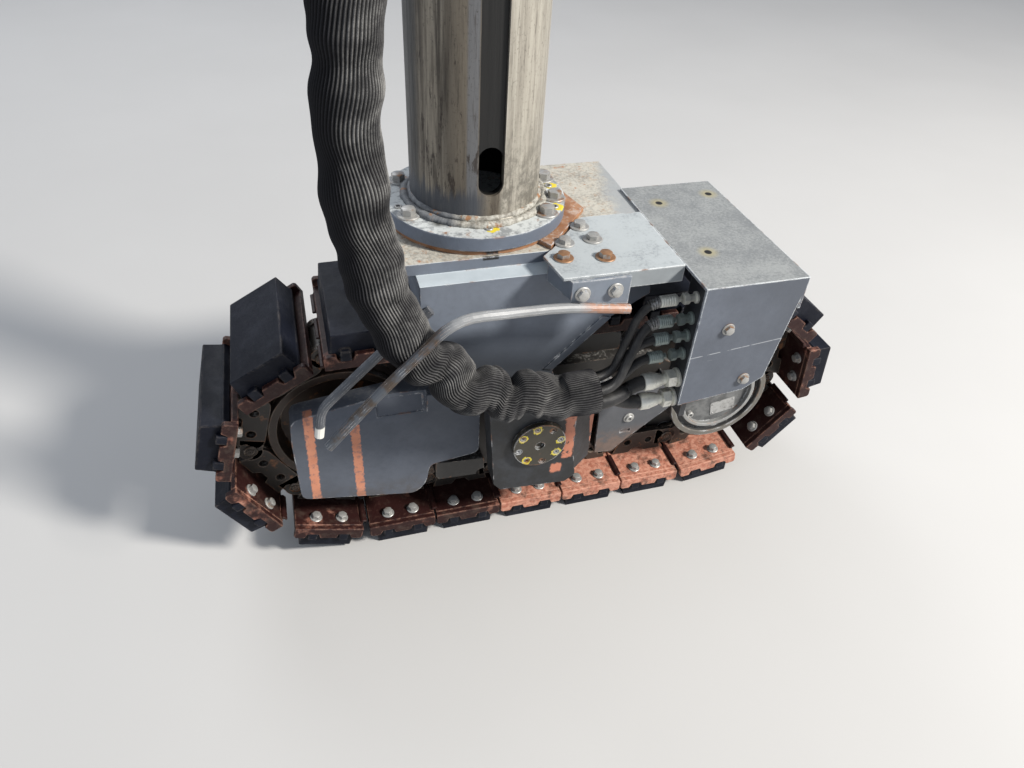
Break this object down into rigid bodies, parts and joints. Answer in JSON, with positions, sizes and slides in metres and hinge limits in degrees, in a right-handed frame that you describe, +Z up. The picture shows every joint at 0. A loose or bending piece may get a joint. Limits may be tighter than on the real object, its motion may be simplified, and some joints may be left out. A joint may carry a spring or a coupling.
{
  "type": "crawler track unit with lifting column of a cold planer",
  "caption": "Crawler track unit on a pivoting fork under a round lifting column, with hose guard, rods and a sleeved hose bundle.",
  "frame": {"origin": "on the axis of the lifting column, at the middle of the length that the machine's guide tube holds, 1.2 m above the ground", "axes": "+Z up along the column, +X along the track towards the drive sprocket, +Y from the outer side of the track to its inner side"},
  "size_m": [1.302, 0.516, 1.5],
  "materials": {
    "worn_steel": "bare rolled steel worn bright with brown streaks",
    "grey_paint": "slate grey paint, scuffed and dusty",
    "light_grey_paint": "light slate grey paint, scratched",
    "frame_paint": "dark grey paint under dirt",
    "dark_grey_paint": "dark grey paint",
    "rusty_plate": "rusty plate with rests of paint",
    "zinc_bolt": "zinc plated, some rusty",
    "zinc_fitting": "bright zinc plated",
    "dark_steel": "oily dark steel",
    "cap_steel": "dirty steel with spots of yellow paint",
    "worn_rod": "round bar with worn paint and light rust",
    "rusty_steel": "brown rust worn smooth",
    "chain_steel": "dark steel under dirt",
    "shoe_paint": "dark red primer worn to orange at the edges",
    "pad_rubber": "black pad, dusty and chipped",
    "hose_rubber": "black hose",
    "woven_sleeve": "black woven sleeve with cross ribs"
  },
  "bodies": {
    "leg": {"column": "worn_steel", "flange": "grey_paint", "flange_bolts": "zinc_bolt", "shim_plate": "rusty_plate", "fork": "grey_paint", "pivot_pin": "dark_steel", "pivot_caps": "cap_steel", "adapter_plate": "light_grey_paint", "adapter_bolts": "zinc_bolt", "guard_hood": "light_grey_paint", "rod_bracket": "light_grey_paint", "guard_rod_outer": "worn_rod", "guard_rod_inner": "worn_rod", "hose_panel": "dark_steel", "hose_fittings": "zinc_fitting", "hoses": "hose_rubber", "hose_sleeve": "woven_sleeve", "hose_coupling": "zinc_fitting"},
    "track": {"track_frame": "frame_paint", "side_cover_near": "grey_paint", "side_cover_far": "grey_paint", "drive_guard_near": "dark_grey_paint", "drive_guard_far": "dark_grey_paint", "idler": "rusty_steel", "idler_axle": "dark_steel", "rollers": "rusty_steel", "roller_axles": "dark_steel", "sprocket": "dark_steel", "drive_casing": "dark_grey_paint", "gearbox_cover": "dark_grey_paint", "chain": "chain_steel", "shoes": "shoe_paint", "pads": "pad_rubber"}
  },
  "joints": [
    {"name": "track_pivot", "type": "hinge", "parent": "leg", "child": "track", "pos_m": [0.086, 0, -0.90475], "axis": [0, 1, 0], "range_deg": [-10, 10]}
  ]
}
